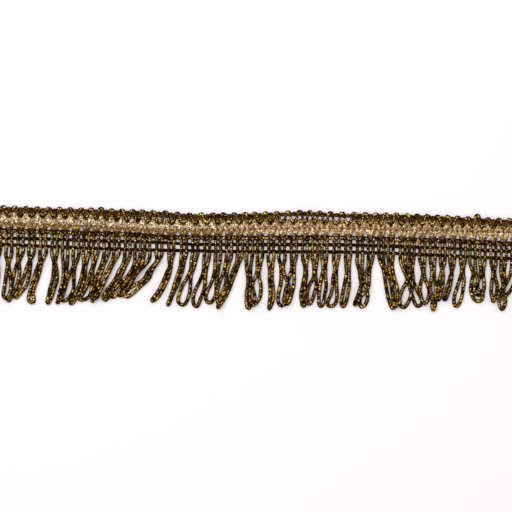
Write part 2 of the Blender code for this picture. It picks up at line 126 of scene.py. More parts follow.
# The fringe's loops: the root in millimetres, whether the left leg (1) or the right leg (-1) lies
# on top, the layer, and the cord's way from its left root round the tip to its right root in tenths
# of a millimetre, two numbers to a point: across from the root and down from the chain row.
LOOPS = [
    (-102.2, 1, 0, (-9, 31, -6, 55, -2, 78, 1, 102, 1, 126, -3, 150, -10, 173, -13, 183, -15, 192,
        -19, 199, -26, 199, -26, 191, -24, 181, -22, 172, -18, 148, -15, 124, -11, 100, -7, 77, 0,
        54, 6, 31)),
    (-98.0, 1, 0, (-9, 13, -8, 37, -4, 61, -1, 84, 1, 108, 0, 132, -4, 156, -10, 179, -13, 189, -15,
        198, -19, 205, -26, 205, -27, 197, -24, 187, -23, 177, -19, 154, -15, 130, -12, 106, -8, 83,
        -3, 59, 5, 36, 9, 13)),
    (-93.9, 1, 1, (-12, 28, -11, 47, -5, 66, -6, 85, -10, 108, -14, 134, -18, 161, -22, 184, -22,
        197, -13, 204, -1, 200, 6, 185, 9, 161, 8, 134, 4, 111, 0, 89, 0, 68, 6, 47, 10, 28)),
    (-89.5, 1, 0, (-12, 26, -11, 45, -9, 64, -16, 79, -23, 98, -28, 121, -32, 148, -37, 174, -44,
        197, -50, 212, -42, 208, -31, 189, -21, 168, -12, 146, -6, 121, -5, 94, -6, 70, 0, 49, 10,
        26)),
    (-85.3, -1, 0, (-12, 24, -10, 43, -5, 62, -5, 85, -8, 108, -13, 131, -20, 151, -33, 170, -49,
        188, -61, 201, -62, 191, -52, 170, -42, 148, -32, 125, -24, 102, -16, 81, -8, 62, 2, 43, 11,
        24)),
    (-80.9, -1, 0, (-13, 22, -14, 41, -13, 60, -21, 79, -30, 102, -38, 129, -45, 151, -51, 170, -54,
        188, -57, 202, -52, 212, -44, 216, -37, 212, -35, 201, -39, 188, -38, 170, -31, 148, -22,
        125, -15, 98, -9, 75, -2, 55, 6, 37, 12, 22)),
    (-76.6, 1, 0, (-11, 20, -8, 36, -2, 55, -2, 77, -5, 100, -8, 123, -13, 146, -19, 169, -24, 191,
        -29, 209, -26, 217, -19, 207, -11, 188, -2, 165, 5, 142, 9, 119, 10, 96, 6, 74, 4, 55, 8,
        36, 11, 20)),
    (-72.6, 1, 1, (-10, 19, -9, 42, -7, 68, -6, 95, -9, 125, -14, 152, -20, 178, -26, 201, -30, 215,
        -23, 205, -12, 182, -4, 159, 2, 133, 5, 106, 6, 80, 8, 49, 10, 19)),
    (-68.4, 1, 1, (-10, 17, -11, 40, -9, 63, -15, 85, -27, 108, -36, 131, -43, 154, -49, 177, -55,
        194, -48, 203, -36, 199, -23, 188, -14, 169, -9, 146, -8, 123, -8, 101, -5, 78, 2, 55, 8,
        36, 11, 17)),
    (-64.5, 1, 0, (-11, 15, -10, 38, -10, 61, -12, 84, -17, 110, -25, 133, -33, 156, -44, 179, -56,
        198, -61, 211, -53, 211, -43, 196, -29, 175, -18, 152, -10, 129, -6, 107, -4, 84, 0, 61, 5,
        38, 10, 15)),
    (-60.8, 1, 1, (-14, 14, -13, 37, -11, 56, -16, 78, -24, 101, -29, 124, -38, 151, -51, 173, -63,
        189, -61, 198, -51, 196, -38, 192, -24, 179, -17, 158, -16, 134, -14, 109, -13, 84, -6, 59,
        1, 37, 8, 14)),
    (-56.8, 1, 0, (-10, 12, -12, 33, -17, 56, -26, 77, -37, 100, -43, 126, -47, 153, -51, 180, -56,
        203, -50, 193, -42, 172, -35, 149, -30, 124, -25, 102, -16, 77, -6, 50, 3, 29, 10, 12)),
    (-53.0, -1, 0, (-11, 11, -13, 32, -22, 55, -32, 77, -44, 102, -55, 129, -67, 152, -77, 172, -82,
        189, -73, 184, -63, 163, -52, 140, -42, 115, -30, 91, -19, 68, -8, 45, 5, 26, 11, 11)),
    (-48.8, 1, 1, (-11, 10, -11, 29, -18, 55, -32, 82, -44, 108, -59, 131, -76, 150, -88, 169, -94,
        185, -86, 192, -77, 186, -71, 171, -61, 154, -47, 133, -33, 112, -21, 89, -11, 67, 0, 44, 8,
        25, 10, 10)),
    (-45.0, 1, 0, (-11, 9, -11, 31, -14, 54, -23, 75, -35, 96, -53, 115, -72, 132, -87, 149, -99,
        164, -102, 177, -91, 180, -76, 166, -61, 149, -44, 130, -27, 109, -14, 87, -2, 62, 6, 39,
        10, 9)),
    (-41.4, -1, 1, (-10, 8, -12, 25, -17, 46, -29, 67, -44, 84, -63, 103, -80, 124, -97, 145, -109,
        166, -101, 175, -88, 162, -72, 143, -59, 120, -44, 97, -27, 76, -8, 57, 7, 35, 11, 8)),
    (-36.8, -1, 0, (-11, 7, -11, 24, -10, 43, -25, 62, -42, 81, -54, 104, -71, 121, -94, 133, -115,
        146, -129, 161, -132, 173, -124, 178, -111, 173, -94, 159, -75, 142, -56, 125, -37, 106,
        -29, 83, -16, 59, -2, 40, 8, 22, 11, 7)),
    (-32.2, 1, 0, (-9, 22, -9, 37, -7, 60, -16, 82, -26, 105, -36, 128, -47, 151, -61, 172, -73,
        187, -74, 194, -64, 189, -48, 174, -34, 153, -23, 130, -12, 105, -5, 81, -1, 56, 4, 31, 10,
        14)),
    (-27.4, 1, 0, (-9, 13, -11, 32, -12, 55, -19, 82, -29, 108, -38, 135, -45, 158, -53, 180, -60,
        199, -62, 209, -55, 201, -47, 180, -38, 158, -26, 133, -17, 108, -8, 82, -3, 55, 4, 28, 10,
        13)),
    (-23.1, 1, 0, (-10, 12, -14, 35, -16, 66, -22, 88, -33, 107, -46, 128, -55, 151, -62, 172, -66,
        191, -56, 205, -43, 206, -31, 191, -24, 168, -19, 142, -18, 115, -14, 88, -6, 66, 3, 35, 9,
        12)),
    (-18.6, 1, 0, (-10, 12, -13, 34, -13, 65, -18, 91, -29, 114, -41, 139, -50, 164, -53, 186, -50,
        205, -40, 213, -31, 202, -23, 179, -15, 154, -9, 129, -7, 99, -4, 69, 4, 38, 9, 12)),
    (-14.4, 1, 0, (-10, 11, -12, 41, -12, 72, -21, 106, -33, 133, -42, 155, -48, 174, -44, 190, -33,
        197, -21, 190, -12, 171, -7, 144, -6, 117, -3, 91, 3, 64, 7, 34, 9, 11)),
    (-10.3, 1, 0, (-9, 10, -11, 33, -14, 56, -22, 82, -32, 105, -40, 128, -43, 151, -44, 174, -43,
        193, -39, 204, -34, 189, -28, 166, -20, 143, -13, 120, -9, 94, -5, 67, 2, 41, 8, 22, 10,
        10)),
    (-6.1, 1, 1, (-10, 9, -11, 25, -15, 47, -25, 70, -34, 93, -45, 116, -52, 139, -62, 161, -74,
        184, -82, 203, -85, 216, -77, 207, -64, 186, -51, 165, -39, 142, -32, 120, -24, 95, -14, 70,
        -4, 44, 5, 25, 9, 9)),
    (-2.3, 1, 0, (-12, 9, -14, 32, -11, 70, -8, 104, -10, 138, -13, 168, -14, 195, -10, 213, -2,
        214, 1, 195, 0, 168, 0, 142, 2, 115, 1, 89, 2, 62, 6, 32, 10, 9)),
    (1.5, -1, 1, (-10, 9, -10, 28, -11, 47, -10, 68, -14, 90, -25, 112, -29, 134, -23, 158, -21,
        176, -27, 192, -33, 202, -21, 200, -8, 187, 1, 168, 4, 146, 2, 123, -2, 98, -4, 73, 0, 51,
        8, 28, 11, 9)),
    (5.7, 1, 0, (-11, 9, -11, 28, -8, 51, -5, 77, -6, 104, -5, 130, -4, 153, -4, 176, -6, 199, -9,
        220, -2, 208, 6, 191, 11, 170, 10, 149, 7, 127, 4, 104, 3, 77, 6, 51, 10, 28, 11, 9)),
    (9.9, -1, 0, (-12, 9, -12, 28, -6, 51, -4, 77, -4, 100, -7, 123, -10, 146, -14, 168, -16, 187,
        -10, 202, 1, 205, 13, 193, 21, 170, 25, 146, 23, 121, 13, 98, 5, 73, 4, 51, 10, 28, 11, 9)),
    (14.4, 1, 1, (-10, 9, -9, 28, -7, 51, -9, 73, -18, 96, -26, 119, -31, 142, -35, 165, -39, 185,
        -33, 199, -22, 195, -13, 178, -6, 155, 0, 130, 1, 108, 0, 81, 1, 54, 7, 28, 11, 9)),
    (18.6, 1, 0, (-10, 9, -8, 28, -2, 50, 0, 73, -5, 100, -10, 126, -13, 153, -14, 180, -11, 201,
        -5, 209, 0, 197, 1, 172, 1, 146, 2, 119, 6, 92, 6, 70, 7, 43, 11, 24, 12, 9)),
    (22.4, 1, 1, (-10, 8, -9, 27, -4, 50, -2, 73, -5, 96, -15, 117, -25, 138, -29, 161, -30, 183,
        -23, 201, -11, 187, -2, 161, 4, 132, 4, 103, 2, 77, 6, 50, 9, 27, 11, 8)),
    (26.0, 1, 0, (-10, 12, -9, 27, -7, 50, -6, 73, -11, 96, -15, 122, -18, 149, -21, 176, -22, 198,
        -15, 208, -7, 198, -1, 176, 4, 149, 6, 122, 4, 96, 4, 69, 5, 43, 9, 12)),
    (30.6, 1, 0, (-11, 16, -12, 31, -9, 50, -8, 73, -13, 95, -16, 122, -19, 145, -24, 168, -32, 187,
        -34, 200, -25, 207, -11, 204, -1, 190, 1, 164, 0, 137, -1, 111, -2, 84, 0, 57, 6, 35, 9,
        16)),
    (35.0, 1, 0, (-10, 15, -10, 34, -7, 57, -6, 80, -11, 103, -16, 128, -20, 152, -24, 179, -26,
        200, -19, 208, -12, 198, -4, 175, 1, 148, 4, 122, 4, 95, 3, 69, 5, 42, 9, 15)),
    (39.5, -1, 0, (-10, 14, -11, 29, -8, 52, -2, 75, 2, 98, 3, 124, 2, 147, 0, 170, -1, 193, 4, 208,
        15, 204, 25, 191, 30, 170, 27, 145, 19, 122, 12, 98, 9, 75, 8, 52, 9, 29, 10, 14)),
    (43.6, 1, 1, (-10, 13, -9, 32, -11, 55, -21, 78, -30, 100, -37, 123, -45, 146, -54, 169, -61,
        188, -63, 200, -54, 195, -45, 178, -32, 161, -19, 146, -10, 127, -5, 104, -4, 78, -2, 55, 4,
        32, 9, 13)),
    (47.6, -1, 0, (-9, 12, -4, 31, 5, 53, 11, 76, 15, 99, 18, 126, 22, 152, 28, 179, 37, 202, 47,
        212, 48, 194, 44, 167, 40, 141, 36, 114, 28, 88, 18, 65, 10, 42, 8, 23, 10, 12)),
    (51.2, 1, 1, (-10, 14, -7, 33, -5, 56, -2, 79, 3, 102, 6, 128, 8, 155, 10, 182, 15, 202, 21,
        201, 25, 178, 25, 151, 22, 125, 15, 98, 9, 75, 6, 52, 7, 30, 9, 14)),
    (55.7, -1, 0, (-9, 13, -8, 28, -3, 47, 7, 70, 17, 93, 25, 115, 30, 138, 37, 161, 44, 184, 53,
        199, 65, 199, 73, 186, 68, 165, 57, 142, 46, 119, 35, 96, 23, 72, 13, 49, 9, 28, 10, 13)),
    (59.2, 1, 1, (-9, 11, -8, 30, -5, 53, -8, 76, -18, 101, -30, 123, -40, 146, -46, 169, -45, 190,
        -34, 203, -21, 196, -11, 179, -4, 156, -1, 133, 2, 110, 3, 84, 3, 57, 5, 34, 8, 11)),
    (63.2, -1, 0, (-10, 10, -9, 25, -5, 40, 0, 63, 0, 86, -5, 108, -9, 131, -8, 154, -2, 175, 9,
        187, 20, 177, 26, 156, 26, 133, 18, 110, 9, 88, 5, 63, 6, 40, 9, 25, 10, 10)),
    (67.1, 1, 1, (-9, 12, -8, 27, -3, 50, -2, 73, -6, 95, -10, 118, -9, 137, -4, 158, -2, 179, -4,
        196, 2, 211, 8, 196, 10, 179, 10, 160, 14, 139, 13, 118, 8, 95, 5, 73, 5, 50, 8, 27, 10,
        12)),
    (70.9, 1, 0, (-8, 23, -5, 47, -1, 71, 1, 95, 0, 119, -5, 142, -7, 152, -10, 161, -13, 169, -20,
        168, -21, 160, -19, 150, -18, 140, -15, 116, -11, 93, -5, 70, 2, 47, 8, 23)),
    (74.6, 1, 1, (-8, 24, -5, 47, -3, 71, -5, 95, -10, 119, -17, 142, -20, 151, -23, 161, -27, 168,
        -32, 166, -30, 158, -27, 149, -25, 139, -19, 116, -12, 93, -6, 70, 2, 47, 8, 24)),
    (78.7, 1, 0, (-10, 14, -8, 33, -5, 52, -9, 75, -16, 99, -24, 124, -31, 147, -34, 170, -31, 186,
        -23, 191, -14, 181, -6, 160, -1, 136, 2, 111, 3, 86, 0, 63, 2, 41, 7, 22)),
    (82.3, -1, 1, (-11, 16, -8, 31, -2, 46, 3, 65, -1, 88, -5, 111, -6, 130, -1, 149, 8, 164, 21,
        169, 33, 165, 38, 152, 36, 136, 28, 127, 18, 121, 18, 103, 18, 80, 11, 58, 10, 35, 10, 16)),
    (86.1, 1, 0, (-10, 21, -7, 40, -8, 63, -14, 86, -26, 105, -32, 122, -27, 137, -10, 143, 2, 133,
        6, 113, 5, 90, 2, 67, 4, 40, 8, 21, 10, 6)),
    (90.2, 1, 0, (-8, 23, -3, 42, -1, 65, -6, 92, -7, 118, -7, 145, -2, 168, 6, 156, 12, 135, 15,
        114, 12, 92, 7, 69, 6, 46, 11, 23)),
    (94.2, 1, 0, (-10, 14, -12, 37, -11, 59, -7, 82, -6, 105, -8, 126, -12, 143, -19, 160, -16, 181,
        -6, 195, 3, 181, 7, 160, 1, 143, 0, 126, 1, 105, 3, 82, 2, 59, 3, 37, 7, 14)),
    (98.2, 1, 1, (-10, 12, -11, 35, -17, 62, -28, 85, -42, 104, -56, 123, -65, 142, -60, 153, -47,
        149, -32, 138, -17, 123, -5, 104, 2, 77, 6, 43, 9, 12)),
    (102.4, 1, 0, (-9, 10, -8, 34, -4, 58, -2, 82, -1, 106, -3, 130, -7, 153, -9, 163, -10, 173,
        -14, 180, -21, 178, -21, 170, -21, 160, -20, 150, -19, 126, -15, 103, -10, 79, -4, 56, 4,
        34, 9, 10)),
]

# One stitch of the picot cord, from the turn on its left: along as a share of the pitch, the height
# as a share of the way from the turn (0) to the first chain row (1) and in millimetres above that,
# the rise over the heading's middle and the cord's width in millimetres.
PICOT_STITCH = (
    (-0.500, 0.0, -0.15, 0.00, 1.62), (-0.410, 0.0, 0.00, 0.00, 1.60),
    (-0.310, 0.25, 0.00, 0.05, 1.28), (-0.250, 0.60, 0.00, 0.15, 0.94),
    (-0.210, 0.90, 0.00, 0.25, 1.00), (-0.190, 1.0, 0.32, 0.30, 1.28),
    (-0.120, 1.0, 0.78, 0.20, 1.46), (0.000, 1.0, 0.95, 0.15, 1.52),
    (0.120, 1.0, 0.78, 0.20, 1.46), (0.190, 1.0, 0.32, 0.30, 1.28),
    (0.210, 0.90, 0.00, 0.25, 1.00), (0.250, 0.60, 0.00, 0.15, 0.94),
    (0.310, 0.25, 0.00, 0.05, 1.28), (0.410, 0.0, 0.00, 0.00, 1.60),
)

# Picot bumps that stand out of the row: the place in millimetres and how much taller, as a share
TALL_BUMPS = ((-59.0, 0.45), (84.0, 1.15))

# An arch's shoulder: out from its middle as a share of half its width, down from its top and the
# rise over the heading's middle in millimetres
ARCH_SHOULDER = ((0.90, 0.52, 0.15), (0.52, 0.12, 0.25))

# The strand over the arches: along as a share of the pitch and the height over an arch's axis
CROWN_STITCH = (
    (-0.50, -1.10), (-0.42, -0.50), (-0.31, 0.14), (-0.16, 0.52), (0.0, 0.64), (0.16, 0.52),
    (0.31, 0.14), (0.42, -0.50),
)

# The three strands of a chain stitch: across it as a share of its half-width, and their low and
# high places as shares of the row's rise.
CHAIN_STRANDS = ((1.0, 0.15, 1.0), (-1.0, 0.15, 0.92), (0.0, 0.0, 0.35))

# The finishes of the heading's yarns
DARK, UMBER, BROWN = range(3)

# The heading's chain rows: the knit row, the place above it, half the width, the yarn's thickness
# and the rise in millimetres, the finish, and from where to where along the trim in metres. The
# second and third close the row under the picot bumps; between the two it is open.
WHOLE = (-1.0, 1.0)
CHAIN_ROWS = (
    ("picot", 0.10, 0.46, 0.76, 0.45, UMBER, WHOLE),
    ("picot", -0.92, 0.24, 0.58, 0.35, BROWN, (-1.0, 9 * MM)),
    ("picot", -0.92, 0.24, 0.58, 0.35, BROWN, (35 * MM, 1.0)),
    ("turn", -0.80, 0.20, 0.50, 0.45, BROWN, WHOLE),
    ("net", 0.0, 0.34, 0.64, 0.45, DARK, WHOLE),
    ("strip", 0.0, 0.34, 0.64, 0.45, DARK, WHOLE),
)

# Colours: the dark and the light part of each yarn and foil, and its tint at a flat angle (EDGE)
# Cord: near-black off the plies' crests, painted shade in the grooves; rust and gold only on the
# crests, the gold as painted glints
CORD_DARK_AND_SHADE = (0.0048, 0.0014, 0.0001)
CORD_LIT_RUST = (0.058, 0.0185, 0.0016)
CORD_GOLD = (0.73, 0.475, 0.148)
CORD_EDGE = (0.12, 0.055, 0.012, 1.0)
DARK_YARN = ((0.009, 0.003, 0.0003), (0.066, 0.029, 0.005))
UMBER_YARN = ((0.036, 0.0145, 0.002), (0.25, 0.132, 0.033))
BROWN_YARN = ((0.115, 0.056, 0.018), (0.25, 0.142, 0.055))
YARN_EDGE = (1.0, 0.6, 0.3, 1.0)
TAN_FOIL = ((0.13, 0.066, 0.020), (0.60, 0.455, 0.28))
TAN_SHADE = (0.15, 0.080, 0.036)
# Cream and bronze are lit and shaded copies of the foil: painted highlight and painted shade
CREAM_LIT_FOIL = ((0.115, 0.066, 0.025), (0.65, 0.56, 0.405))
BRONZE_SHADED_FOIL = ((0.085, 0.042, 0.012), (0.265, 0.168, 0.077))
FOIL_EDGE = (0.9, 0.70, 0.45, 1.0)
FLOOR_COLOUR = (0.74, 0.715, 0.725, 1.0)
ROOM_COLOUR = (1.0, 0.985, 1.0, 1.0)

# Levels from which a part of a pattern starts and where it is full
LIT_CREST_LEVELS = (0.62, 0.92)     # of the cosine round a ply, for its gold glints and its lighter rust, painted light on the plies' crests
FLECK_LEVELS = (0.59, 0.66)     # of the noise along a ply, less the share of a cord's flecks
PAINTED_LIGHT_END = (4 * MM, -14 * MM)  # of the place along the trim, for the painted highlight in cream on the upper row and the painted shade in bronze on the lower row

# Soft light: the room, a softbox overhead and six around, from the trim's right anticlockwise
WORLD_LIGHT = 0.42
OVERHEAD_POWER = 4.6
OVERHEAD_PLACE = (-0.12, 0.16, 0.90)
LAMP_POWERS = (0.4, 0.6, 1.5, 0.8, 0.4, 0.4)
LAMP_REACH = 0.72
LAMP_HEIGHT = 0.68
LAMP_SIZE = 0.45

FLOOR_HALF = 3.0
VIEW_WIDTH = 194.56 * MM        # the trim's length in the photo's 512 pixels
VIEW_MIDDLE = 0.76 * MM         # the camera's place across the trim
VIEW_LEVEL = 1.0 * MM           # the height at which the view has that width
LENS = 100.0
SENSOR = 36.0


def row(name, x):
    """The height of a knit row at x, in metres."""
    column = LIE_COLUMNS.index(name)
    return np.interp(x, [line[0] * MM for line in LIE], [line[column] * MM for line in LIE])


def leg_places():
    """Left and right leg of each arch, as pairs."""
    roots = [line[0] * MM for line in LOOPS]
    roots = [roots[0] - PITCH] + roots + [roots[-1] + PITCH]
    return [(left + LEG_INSET, right - LEG_INSET) for left, right in zip(roots, roots[1:])]


def ease(share):
    """A smooth step from 0 to 1."""
    share = np.clip(share, 0.0, 1.0)
    return share * share * (3 - 2 * share)


def wander(count, spacing, rng):
    """Smooth noise of about unit height, with a knot every so many points."""
    knots = rng.uniform(-1, 1, max(count // spacing, 2) + 3)
    at = np.linspace(0, len(knots) - 1.001, count)
    low = at.astype(int)
    return knots[low] + (knots[low + 1] - knots[low]) * ease(at - low)


def unit(vectors):
    """The vectors at unit length."""
    return vectors / np.maximum(np.linalg.norm(vectors, axis=1, keepdims=True), 1e-12)


def lengths(points):
    """The length of the way from the first point to each."""
    return np.concatenate([[0.0], np.cumsum(np.linalg.norm(np.diff(points, axis=0), axis=1))])


def resample(points, step):
    """Evenly spaced points along a polyline, at about a step, and the length of the way to each."""
    run = lengths(points)
    count = max(int(round(run[-1] / step)), 3) + 1
    places = np.linspace(0.0, run[-1], count)
    return np.column_stack([np.interp(places, run, points[:, axis]) for axis in range(3)]), places


def smoothed(points, rounds):
    """The points, each drawn towards its neighbours a number of times."""
    points = points.copy()
    for _ in range(rounds):
        points[1:-1] = (points[:-2] + 2 * points[1:-1] + points[2:]) / 4
    return points


def spline(points, per):
    """A smooth curve through the points, with a number of steps for each span."""
    points = np.asarray(points, float)
    padded = np.vstack([2 * points[0] - points[1], points, 2 * points[-1] - points[-2]])
    made = []
    for index in range(1, len(padded) - 2):
        before, start, end, after = padded[index - 1:index + 3]
        t = np.linspace(0.0, 1.0, per, endpoint=False)[:, None]
        made.append(0.5 * (2 * start + (end - before) * t
                           + (2 * before - 5 * start + 4 * end - after) * t**2
                           + (3 * start - before - 3 * end + after) * t**3))
    made.append(points[-1:])
    return np.vstack(made)


def added(name, data):
    """A new object of the scene."""
    made = bpy.data.objects.new(name, data)
    bpy.context.scene.collection.objects.link(made)
    return made


def placed_piece(name, mesh, slot, *nodes):
    """A piece of the trim, which takes the place of CAD nodes."""
    made = added(name, mesh)
    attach(made, "root")
    if nodes:
        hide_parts(*nodes)
    return made


class Yarns:
    """Gathers round yarns into one mesh, with a yarn map and an even grid of cells to bake on."""

    def __init__(self):
        self.points = []
        self.quads = []
        self.yarn = []
        self.cells = []
        self.finishes = []
        self.caps = []
        self.cells_used = 0
        self.count = 0

    def tube(self, points, radii, places, sides, outward=None, finish=0, wide=1.0):
        """A closed tube along points. outward is the direction that the yarn map calls zero."""
        total = len(points)
        tangents = unit(np.gradient(points, axis=0))
        if outward is None:
            outward = np.tile(UP, (total, 1))
        outward = unit(outward - tangents * np.sum(outward * tangents, axis=1, keepdims=True))
        across = np.cross(tangents, outward)
        turns = np.arange(sides) / sides
        angles = 2 * np.pi * turns
        ring = (np.cos(angles)[None, :, None] * outward[:, None, :]
                + wide * np.sin(angles)[None, :, None] * across[:, None, :])
        body = points[:, None, :] + ring * np.asarray(radii)[:, None, None]
        self.points.append(body.reshape(-1, 3))
        near = np.arange(total - 1)[:, None] * sides
        here = np.arange(sides)[None, :]
        then = (here + 1) % sides
        quads = np.stack([near + here, near + then, near + sides + then, near + sides + here], 2)
        self.quads.append(quads.reshape(-1, 4) + self.count)
        start, end, low = np.broadcast_arrays(places[:-1, None], places[1:, None], turns[None, :])
        high = low + 1.0 / sides
        yarn = np.stack([np.stack([start, low], 2), np.stack([start, high], 2),
                         np.stack([end, high], 2), np.stack([end, low], 2)], 2)
        self.yarn.append(yarn.reshape(-1, 2))
        cell = (start // CELL_LENGTH).astype(int)
        inside = (yarn[..., 0] - cell[..., None] * CELL_LENGTH) / (CELL_LENGTH + 2 * CORD_STEP)
        number = np.broadcast_to((cell + self.cells_used)[..., None], inside.shape)
        self.cells.append(np.stack([inside, yarn[..., 1], number], 3).reshape(-1, 3))
        self.finishes.append(np.full(len(quads) * sides, finish))
        last = self.count + (total - 1) * sides
        for first, order in ((self.count, -1), (last, 1)):
            corners = [first + side for side in range(sides)][::order]
            self.caps.append((corners, self.cells_used, finish))
        self.cells_used += int(cell.max()) + 1
        self.count += total * sides

    def cord(self, route, width, rng, sides=PLY_SIDES):
        """A two-ply twisted cord along a route, with a width for each of its points."""
        axis, places = resample(route, CORD_STEP)
        radius = 0.5 * np.interp(places, lengths(route), width)
        radius *= 1 + 0.05 * wander(len(axis), 14, rng)
        tangents = unit(np.gradient(axis, axis=0))
        up = unit(UP - tangents * tangents[:, 2:3])
        side = np.cross(tangents, up)
        angle = rng.uniform(0, 2 * np.pi) + 2 * np.pi * places / TWIST
        angle += 0.5 * wander(len(axis), 18, rng)
        for ply in (0.0, np.pi):
            radial = np.cos(angle + ply)[:, None] * side + np.sin(angle + ply)[:, None] * up
            centre = axis + radial * (radius * HELIX_SHARE)[:, None]
            self.tube(centre, radius * PLY_SHARE, places, sides, radial, 0, PLY_WIDTH)

    def build(self, name, finishes, slot, *nodes):
        """Makes the piece of all the yarns gathered so far."""
        points = np.vstack(self.points)
        quads = np.vstack(self.quads)
        mesh = bpy.data.meshes.new(name)
        mesh.vertices.add(len(points))
        mesh.vertices.foreach_set("co", points.ravel())
        caps, cap_cells, cap_finishes = zip(*self.caps)
        sizes = np.concatenate([np.full(len(quads), 4), [len(cap) for cap in caps]]).astype(int)
        starts = np.concatenate([[0], np.cumsum(sizes)[:-1]]).astype(int)
        corners = np.concatenate([quads.ravel(), *caps]).astype(int)
        mesh.loops.add(len(corners))
        mesh.loops.foreach_set("vertex_index", corners)
        mesh.polygons.add(len(sizes))
        mesh.polygons.foreach_set("loop_start", starts)
        mesh.polygons.foreach_set("use_smooth", np.ones(len(sizes), bool))
        indices = np.concatenate([*self.finishes, cap_finishes]).astype(int)
        mesh.polygons.foreach_set("material_index", indices)
        mesh.update(calc_edges=True)
        yarn = np.vstack([*self.yarn, np.zeros((len(corners) - quads.size, 2))])
        yarn[:, 0] /= MM
        middles = [np.tile((0.5, 0.5, cell), (len(cap), 1)) for cap, cell in zip(caps, cap_cells)]
        cells = np.vstack([*self.cells, *middles])
        columns = max(int(np.sqrt(self.cells_used * CELL_GIRTH / CELL_LENGTH)), 1)
        lines = -(-self.cells_used // columns)
        bake = np.column_stack([cells[:, 2] % columns, cells[:, 2] // columns])
        for axis, (edge, count) in enumerate(zip(CELL_EDGES, (columns, lines))):
            bake[:, axis] = (bake[:, axis] + edge + (1 - 2 * edge) * cells[:, axis]) / count
        for title, values in (("OFBake", bake), ("yarn", yarn)):
            mesh.uv_layers.new(name=title)
            mesh.uv_layers[title].data.foreach_set("uv", values.ravel())
        for finish in finishes:
            mesh.materials.append(finish)
        return placed_piece(name, mesh, slot, *nodes)


# Heading

def picot_cord_route(rng):
    """The picot cord's axis and widths: a bump over each stitch and a turn between stitches."""
    points = []
    for left, right in leg_places():
        middle = (left + right) / 2 + rng.uniform(-STITCH_PLAY, STITCH_PLAY) * MM
        extra = rng.uniform(-LIFT_PLAY, LIFT_PLAY)
        for place, height in TALL_BUMPS:
            if abs(middle - place * MM) < PITCH / 2:
                extra = height
        for along, share, up, rise, width in PICOT_STITCH:
            x = middle + along * PITCH
            turn = row("turn", x) + PICOT_TURN * MM
            y = turn + (row("picot", x) - PICOT_TOP - turn) * share
            y += (up + extra * max(up, 0.0)) * MM
            points.append((x, y, HEADING_RISE + rise * MM, width * MM))
    route = spline(points, 4)
    return route[:, :3], route[:, 3]


def arch_side(leg, side, middle, half, top, sways):
    """One side of an arch, from its foot up to its shoulder."""
    strip, net = row("strip", leg), row("net", leg)
    points = [
        (leg, strip, HEADING_RISE),
        (leg + sways[0], (strip + net) / 2, HEADING_RISE - 0.20 * MM),
        (leg, net, HEADING_RISE + 0.10 * MM),
        (leg + sways[1], top - 1.15 * MM, HEADING_RISE),
    ]
    for out, down, rise in ARCH_SHOULDER:
        points.append((middle + side * half * out, top - down * MM, HEADING_RISE + rise * MM))
    return points


def arch_route(left, right, rng):
    """The arch over a stitch, from the foot of its left leg to the foot of its right leg."""
    middle = (left + right) / 2
    top = row("arch", middle) - ARCH_AXIS + rng.uniform(-STITCH_PLAY, STITCH_PLAY) * MM
    half = (right - left) / 2
    sway = rng.uniform(-STITCH_PLAY, STITCH_PLAY, 4) * MM
    points = arch_side(left, -1, middle, half, top, sway[:2])
    points.append((middle, top, HEADING_RISE + 0.30 * MM))
    points.extend(reversed(arch_side(right, 1, middle, half, top, sway[:1:-1])))
    route = spline(points, 4)
    wide = ease((route[:, 1] - top + ARCH_WIDEN[0]) / ARCH_WIDEN[1])
    return route, NET_CORD + (ARCH_CORD - NET_CORD) * wide


def crown_route(rng):
    """The strand that runs over the top of each arch and dips between two arches."""
    points = []
    for left, right in leg_places():
        middle = (left + right) / 2
        lift = rng.uniform(-LIFT_PLAY, LIFT_PLAY)
        for along, up in CROWN_STITCH:
            x = middle + along * PITCH
            y = row("arch", x) - ARCH_AXIS + (up + lift) * MM
            points.append((x, y, HEADING_RISE + (0.45 + 0.5 * max(up, 0.0)) * MM))
    return spline(points, 4)


def chain_row(yarns, rng, name, up, half, thick, rise, finish=0, span=WHOLE):
    """A row of chain stitches that passes under each leg and swells to a knot between two legs."""
    half, thick, rise = half * MM, thick * MM, rise * MM
    legs = [leg for pair in leg_places() for leg in pair if span[0] < leg < span[1]]
    for start in range(0, len(legs) - 1, CHAIN_STRIP):
        spans = list(zip(legs[start:start + CHAIN_STRIP], legs[start + 1:start + CHAIN_STRIP + 1]))
        swells = 1 + rng.uniform(-0.15, 0.15, len(spans))
        for across, low, high in CHAIN_STRANDS:
            points = []
            for (left, right), swell in zip(spans, swells):
                for share in (0.0, 0.25, 0.5, 0.75):
                    x = left + (right - left) * share
                    bow = np.sin(np.pi * share)
                    y = row(name, x) + up * MM + across * half * bow * swell
                    points.append((x, y, thick / 2 + CLEARANCE + rise * (low + (high - low) * bow)))
            x = spans[-1][1]
            points.append((x, row(name, x) + up * MM, thick / 2 + CLEARANCE + rise * low))
            axis, places = resample(spline(points, 3), CHAIN_STEP)
            radii = thick / 2 * (1 + 0.08 * wander(len(axis), 7, rng))
            yarns.tube(axis, radii, places, CHAIN_SIDES, None, finish)


